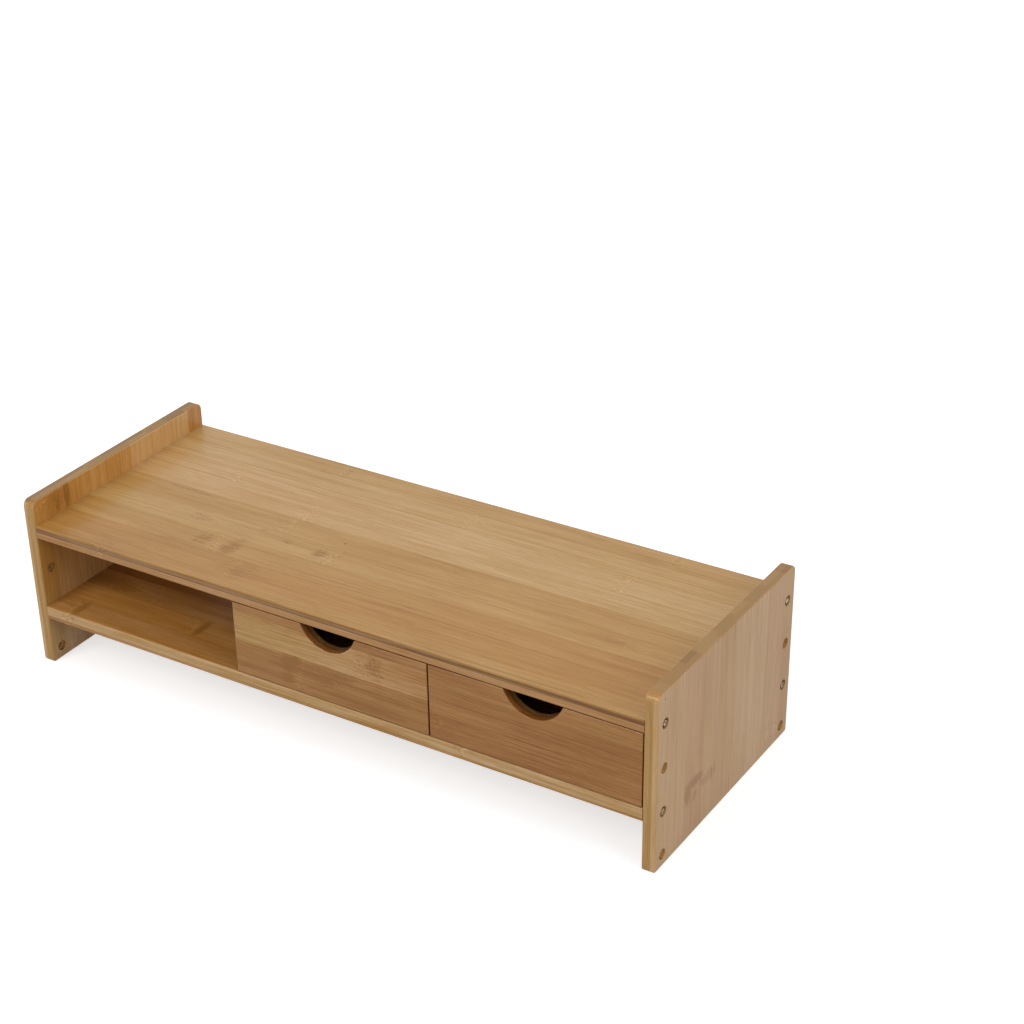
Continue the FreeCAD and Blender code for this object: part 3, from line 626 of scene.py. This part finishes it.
def screw_steel():
    """Bright plated steel, a little worn, with painted shade round the head's rim, where it turns dark and dull."""
    material = bpy.data.materials.new("screw steel")
    material.use_nodes = True
    tree = material.node_tree
    shader = tree.nodes["Principled BSDF"]
    spot = put(tree, "ShaderNodeTexCoord")
    grime = put(tree, "ShaderNodeTexNoise", None, {"Vector": spot.outputs["Object"], "Scale": 900.0, "Detail": 3.0})
    tone = put(tree, "ShaderNodeValToRGB", None, {"Fac": grime.outputs["Fac"]})
    tone.color_ramp.elements[0].position = 0.3
    tone.color_ramp.elements[0].color = (0.34, 0.25, 0.15, 1)
    tone.color_ramp.elements[1].position = 0.7
    tone.color_ramp.elements[1].color = (0.78, 0.63, 0.46, 1)
    share = put(tree, "ShaderNodeAttribute", {"attribute_name": "rim_share"}).outputs["Fac"]
    # painted shade: towards its rim the head darkens and loses its shine, standing in for the shaded gap round it
    rim = ease(tree, share, RIM_START, RIM_FULL)
    bright = sum_of(tree, "SUBTRACT", 1.0, rim)
    steel_with_rim_shade = blend(tree, rim, tone.outputs[0], RIM_SHADE_BROWN)
    tree.links.new(steel_with_rim_shade, shader.inputs["Base Color"])
    tree.links.new(ease(tree, grime.outputs["Fac"], 0.3, 0.7, 0.36, 0.16), shader.inputs["Roughness"])
    tree.links.new(bright, shader.inputs["Metallic"])
    tree.links.new(bright, shader.inputs["Specular IOR Level"])
    return material


def screw_tree():
    """Geometry Nodes for a cross-head wood screw, set at every point of the mesh it is given."""
    tree = bpy.data.node_groups.new("cross head screws", "GeometryNodeTree")
    tree.interface.new_socket("Places", in_out="INPUT", socket_type="NodeSocketGeometry")
    for name, value in (("Head Diameter", 7.0), ("Head Height", 3.0), ("Head Squareness", 2.35),
                        ("Recess Span", 4.4), ("Recess Width", 1.1), ("Recess Depth", 1.7),
                        ("Shank Diameter", 4.0), ("Core Diameter", 2.9), ("Length", 25.0), ("Pitch", 1.8),
                        ("Unit", MM)):
        socket = tree.interface.new_socket(name, in_out="INPUT", socket_type="NodeSocketFloat")
        socket.default_value = value
    seed = tree.interface.new_socket("Seed", in_out="INPUT", socket_type="NodeSocketInt")
    seed.default_value = SCREW_SEED
    tree.interface.new_socket("Steel", in_out="INPUT", socket_type="NodeSocketMaterial")
    tree.interface.new_socket("Screws", in_out="OUTPUT", socket_type="NodeSocketGeometry")
    given = put(tree, "NodeGroupInput").outputs

    def m(kind, *terms):
        """One math node of this group."""
        return sum_of(tree, kind, *terms)

    # one grid, rolled round the screw's axis, from the middle of the head to the point
    around, head_rows, rows = 28, 10, 94
    weld_distance, crisp_angle = 0.0005, 0.6
    grid = put(tree, "GeometryNodeMeshGrid", None,
               {"Size X": 1.0, "Size Y": 1.0, "Vertices X": rows, "Vertices Y": around + 1})
    spot = put(tree, "ShaderNodeSeparateXYZ", None,
               {"Vector": put(tree, "GeometryNodeInputPosition").outputs[0]}).outputs
    row = m("MULTIPLY", m("ADD", spot[0], 0.5), rows - 1.0)
    angle = m("MULTIPLY", m("ADD", spot[1], 0.5), math.tau)
    # head: a squared-off dome
    swing = m("MULTIPLY", m("DIVIDE", row, head_rows - 1.0), math.pi / 2)
    swing = m("MINIMUM", swing, math.pi / 2)
    power = m("DIVIDE", 2.0, given["Head Squareness"])
    head_radius = m("DIVIDE", given["Head Diameter"], 2.0)
    dome_out = m("MULTIPLY", m("POWER", m("MAXIMUM", m("SINE", swing), 0.0), power), head_radius)
    dome_up = m("MULTIPLY", m("POWER", m("MAXIMUM", m("COSINE", swing), 0.0), power), given["Head Height"])
    # shank: a thread that rises over the first twelfth of the length and tapers to a point over the last sixth
    down = m("DIVIDE", m("SUBTRACT", row, float(head_rows)), rows - 1.0 - head_rows)
    depth = m("MULTIPLY", down, given["Length"])
    thread = m("FRACT", m("SUBTRACT", m("DIVIDE", depth, given["Pitch"]), m("DIVIDE", angle, math.tau)))
    ridge = m("MAXIMUM", m("SUBTRACT", 1.0, m("MULTIPLY", m("ABSOLUTE", m("SUBTRACT", thread, 0.5)), 4.0)), 0.0)
    crest = m("DIVIDE", m("SUBTRACT", given["Shank Diameter"], given["Core Diameter"]), 2.0)
    start = m("MINIMUM", m("MULTIPLY", down, 12.0), 1.0)
    radius = m("MULTIPLY_ADD", m("MULTIPLY", ridge, start), crest, m("DIVIDE", given["Core Diameter"], 2.0))
    taper = m("MINIMUM", m("MAXIMUM", m("MULTIPLY", m("SUBTRACT", 1.0, down), 6.0), 0.0), 1.0)
    shank_out = m("MULTIPLY", radius, taper)
    in_head = m("LESS_THAN", row, head_rows - 0.5)
    out = m("ADD", m("MULTIPLY", in_head, dome_out), m("MULTIPLY", m("SUBTRACT", 1.0, in_head), shank_out))
    up = m("SUBTRACT", m("MULTIPLY", in_head, dome_up), m("MULTIPLY", m("SUBTRACT", 1.0, in_head), depth))
    place = vector_of(tree, up, m("MULTIPLY", out, m("COSINE", angle)), m("MULTIPLY", out, m("SINE", angle)))
    # the share of the head's radius out from the axis, which the steel uses for the painted shade round the rim
    share = m("DIVIDE", m("MULTIPLY", out, 2.0), given["Head Diameter"])
    marked = put(tree, "GeometryNodeStoreNamedAttribute", {"data_type": "FLOAT", "domain": "POINT"},
                 {"Geometry": grid.outputs["Mesh"], "Name": "rim_share", "Value": share})
    rolled = put(tree, "GeometryNodeSetPosition", None, {"Geometry": marked.outputs[0], "Position": place})
    welded = put(tree, "GeometryNodeMergeByDistance", None,
                 {"Geometry": rolled.outputs[0], "Distance": weld_distance})
    # recess: two blades that taper from their tops to their tips
    blades = []
    tip, taper_out = 0.55, 0.75
    tall = m("MULTIPLY", given["Recess Depth"], 2.0)
    for wide, high in (("Recess Span", "Recess Width"), ("Recess Width", "Recess Span")):
        blade = put(tree, "GeometryNodeMeshCube", None,
                    {"Size": vector_of(tree, tall, given[wide], given[high])})
        here = put(tree, "ShaderNodeSeparateXYZ", None,
                   {"Vector": put(tree, "GeometryNodeInputPosition").outputs[0]}).outputs
        girth = m("MULTIPLY_ADD", m("GREATER_THAN", here[0], 0.0), taper_out, tip)
        bent = vector_of(tree, m("ADD", here[0], given["Head Height"]),
                         m("MULTIPLY", here[1], girth), m("MULTIPLY", here[2], girth))
        moved = put(tree, "GeometryNodeSetPosition", None, {"Geometry": blade.outputs["Mesh"], "Position": bent})
        blades.append(moved.outputs[0])
    cut = put(tree, "GeometryNodeMeshBoolean", {"operation": "DIFFERENCE", "solver": "EXACT"},
              {"Mesh 1": welded.outputs[0]})
    for blade in blades:
        tree.links.new(blade, cut.inputs["Mesh 2"])
    # crisp rims, smooth dome
    edge = put(tree, "GeometryNodeInputMeshEdgeAngle").outputs["Unsigned Angle"]
    smooth = put(tree, "GeometryNodeSetShadeSmooth", None, {"Geometry": cut.outputs["Mesh"], "Shade Smooth": True})
    crisp = put(tree, "GeometryNodeSetShadeSmooth", {"domain": "EDGE"},
                {"Geometry": smooth.outputs[0], "Selection": m("GREATER_THAN", edge, crisp_angle),
                 "Shade Smooth": False})
    # one at each place, facing out and turned as it was driven
    side = put(tree, "GeometryNodeInputNamedAttribute", {"data_type": "FLOAT"}, {"Name": "turned_about"})
    chance = put(tree, "FunctionNodeRandomValue", {"data_type": "FLOAT"},
                 {"Min": 0.0, "Max": math.pi / 2, "Seed": given["Seed"]})
    turn = vector_of(tree, chance.outputs["Value"], 0.0, side.outputs["Attribute"])
    spread = put(tree, "GeometryNodeInstanceOnPoints", None, {
        "Points": given["Places"], "Instance": crisp.outputs[0], "Rotation": turn,
        "Scale": vector_of(tree, given["Unit"], given["Unit"], given["Unit"])})
    real = put(tree, "GeometryNodeRealizeInstances", None, {"Geometry": spread.outputs[0]})
    painted = put(tree, "GeometryNodeSetMaterial", None, {"Geometry": real.outputs[0], "Material": given["Steel"]})
    tree.links.new(painted.outputs[0], put(tree, "NodeGroupOutput").inputs[0])
    return tree


def set_screws(steel):
    """Every screw of the stand as one mesh, each where its CAD node's head sits."""
    seats, turns = [], []
    for node in SCREWS:
        low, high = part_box(node)
        centre = (low + high) / 2
        left = "_left_" in node
        seats.append((low.x + SCREW_SEAT if left else high.x - SCREW_SEAT, centre.y, centre.z))
        turns.append(math.pi if left else 0.0)
    mesh = bpy.data.meshes.new("screw places")
    mesh.from_pydata(seats, [], [])
    turned = mesh.attributes.new("turned_about", "FLOAT", "POINT")
    turned.data.foreach_set("value", turns)
    holder = bpy.data.objects.new("screw places", mesh)
    bpy.context.scene.collection.objects.link(holder)
    modifier = holder.modifiers.new("cross head screws", "NODES")
    tree = screw_tree()
    sockets = {item.name: item.identifier for item in tree.interface.items_tree if item.in_out == "INPUT"}
    modifier.node_group = tree
    modifier[sockets["Steel"]] = steel
    modifier[sockets["Seed"]] = SCREW_SEED
    seen = holder.evaluated_get(bpy.context.evaluated_depsgraph_get())
    made = bpy.data.meshes.new_from_object(seen)
    holder.modifiers.clear()
    bpy.data.objects.remove(holder)
    made.name = "screws"
    screws = bpy.data.objects.new("screws", made)
    bpy.context.scene.collection.objects.link(screws)
    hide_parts(*SCREWS)
    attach(screws, "stand")
    return screws


set_screws(screw_steel())


SURROUND_LIGHT = 0.42
WHITE = (1, 1, 1, 1)

# The floor reaches six metres each way. Near the stand it glows less, so that the shadow shows, and from three
# metres on it is as bright as the surround
FLOOR_REACH = 6.0
FLOOR_GREY = (0.58, 0.58, 0.58, 1)
FLOOR_GLOW, FULL_GLOW = 0.66, 1.0
GLOW_NEAR, GLOW_FAR = 0.8, 3.0
GLOW_IN_GLOSS = 0.46

GROUND_MIDDLE = (0, 0, 0)
STAND_MIDDLE = (0, 0, 0.05)

# The camera of the photograph's front view: its azimuth, elevation and roll in degrees, its place in metres, its
# lens and film in millimetres, and its shift as a share of the film
CAMERA_ANGLES = (33.189, 31.389, -1.47)
CAMERA_PLACE = (0.8191, -1.1542, 0.9063)
CAMERA_LENS, CAMERA_FILM = 77.922, 36.0
CAMERA_SHIFT = (0.0380, 0.1274)


def white_world():
    """A white surround, seen as plain white and in gloss, and dimmer as light."""
    world = bpy.data.worlds.new("white surround")
    bpy.context.scene.world = world
    world.use_nodes = True
    tree = world.node_tree
    back = tree.nodes["Background"]
    back.inputs["Color"].default_value = WHITE
    ray = put(tree, "ShaderNodeLightPath").outputs
    seen = sum_of(tree, "MAXIMUM", ray["Is Camera Ray"],
                  sum_of(tree, "MAXIMUM", ray["Is Glossy Ray"], ray["Is Transmission Ray"]))
    tree.links.new(ease(tree, seen, 0.0, 1.0, SURROUND_LIGHT, 1.0), back.inputs["Strength"])


def white_floor():
    """A white floor that keeps the stand's soft shadow, and is clear from below."""
    mesh = bpy.data.meshes.new("floor")
    corners = [(x * FLOOR_REACH, y * FLOOR_REACH, 0) for x, y in ((-1, -1), (1, -1), (1, 1), (-1, 1))]
    mesh.from_pydata(corners, [], [(0, 1, 2, 3)])
    floor = bpy.data.objects.new("floor", mesh)
    bpy.context.scene.collection.objects.link(floor)
    material = bpy.data.materials.new("white floor")
    material.use_nodes = True
    tree = material.node_tree
    tree.nodes.remove(tree.nodes["Principled BSDF"])
    matte = put(tree, "ShaderNodeBsdfDiffuse", None, {"Color": FLOOR_GREY})
    ray = put(tree, "ShaderNodeLightPath").outputs
    gloss = sum_of(tree, "MAXIMUM", ray["Is Glossy Ray"], ray["Is Transmission Ray"])
    spot = put(tree, "ShaderNodeTexCoord").outputs["Object"]
    far = put(tree, "ShaderNodeVectorMath", {"operation": "LENGTH"}, {0: spot}).outputs["Value"]
    seen = ease(tree, far, GLOW_NEAR, GLOW_FAR, FLOOR_GLOW, FULL_GLOW)
    level = sum_of(tree, "MULTIPLY", gloss, GLOW_IN_GLOSS)
    level = sum_of(tree, "MULTIPLY_ADD", ray["Is Camera Ray"], seen, level)
    glow = put(tree, "ShaderNodeEmission", None, {"Strength": level})
    both = put(tree, "ShaderNodeAddShader")
    tree.links.new(matte.outputs[0], both.inputs[0])
    tree.links.new(glow.outputs[0], both.inputs[1])
    clear = put(tree, "ShaderNodeBsdfTransparent")
    under = put(tree, "ShaderNodeNewGeometry").outputs["Backfacing"]
    mix = put(tree, "ShaderNodeMixShader", None, {0: under})
    tree.links.new(both.outputs[0], mix.inputs[1])
    tree.links.new(clear.outputs[0], mix.inputs[2])
    tree.links.new(mix.outputs[0], tree.nodes["Material Output"].inputs["Surface"])
    mesh.materials.append(material)


def soft_lamp(name, place, target, size, power):
    """A square soft box of a width in metres and a power in watts."""
    lamp = bpy.data.lights.new(name, "AREA")
    lamp.shape = "SQUARE"
    lamp.size = size
    lamp.energy = power
    holder = bpy.data.objects.new(name, lamp)
    bpy.context.scene.collection.objects.link(holder)
    holder.location = place
    holder.rotation_euler = (Vector(target) - Vector(place)).to_track_quat("-Z", "Y").to_euler()


def front_camera():
    """The camera of the photograph's front view."""
    azimuth, elevation, roll = (math.radians(angle) for angle in CAMERA_ANGLES)
    back = Vector((math.sin(azimuth) * math.cos(elevation), -math.cos(azimuth) * math.cos(elevation),
                   math.sin(elevation)))
    right = (-back).cross(Vector((0, 0, 1))).normalized()
    up = right.cross(-back)
    leaning_right = right * math.cos(roll) + up * math.sin(roll)
    leaning_up = up * math.cos(roll) - right * math.sin(roll)
    data = bpy.data.cameras.new("camera")
    data.sensor_width = CAMERA_FILM
    data.lens = CAMERA_LENS
    data.shift_x, data.shift_y = CAMERA_SHIFT
    camera = bpy.data.objects.new("camera", data)
    bpy.context.scene.collection.objects.link(camera)
    turned = Matrix((leaning_right, leaning_up, back)).transposed().to_4x4()
    camera.matrix_world = Matrix.Translation(CAMERA_PLACE) @ turned
    bpy.context.scene.camera = camera


white_world()
white_floor()
soft_lamp("overhead", (0.3, -0.4, 2.0), GROUND_MIDDLE, 1.7, 8.2)
soft_lamp("front left", (-0.72, -1.69, 1.59), STAND_MIDDLE, 0.9, 18.0)
soft_lamp("right", (2.0, -0.55, 0.95), STAND_MIDDLE, 1.2, 11.5)
soft_lamp("rear", (0.4, 2.0, 1.0), STAND_MIDDLE, 1.2, 10.0)
soft_lamp("left", (-2.0, 0.6, 0.7), STAND_MIDDLE, 1.2, 7.0)
front_camera()
bpy.context.scene.view_settings.view_transform = "Standard"
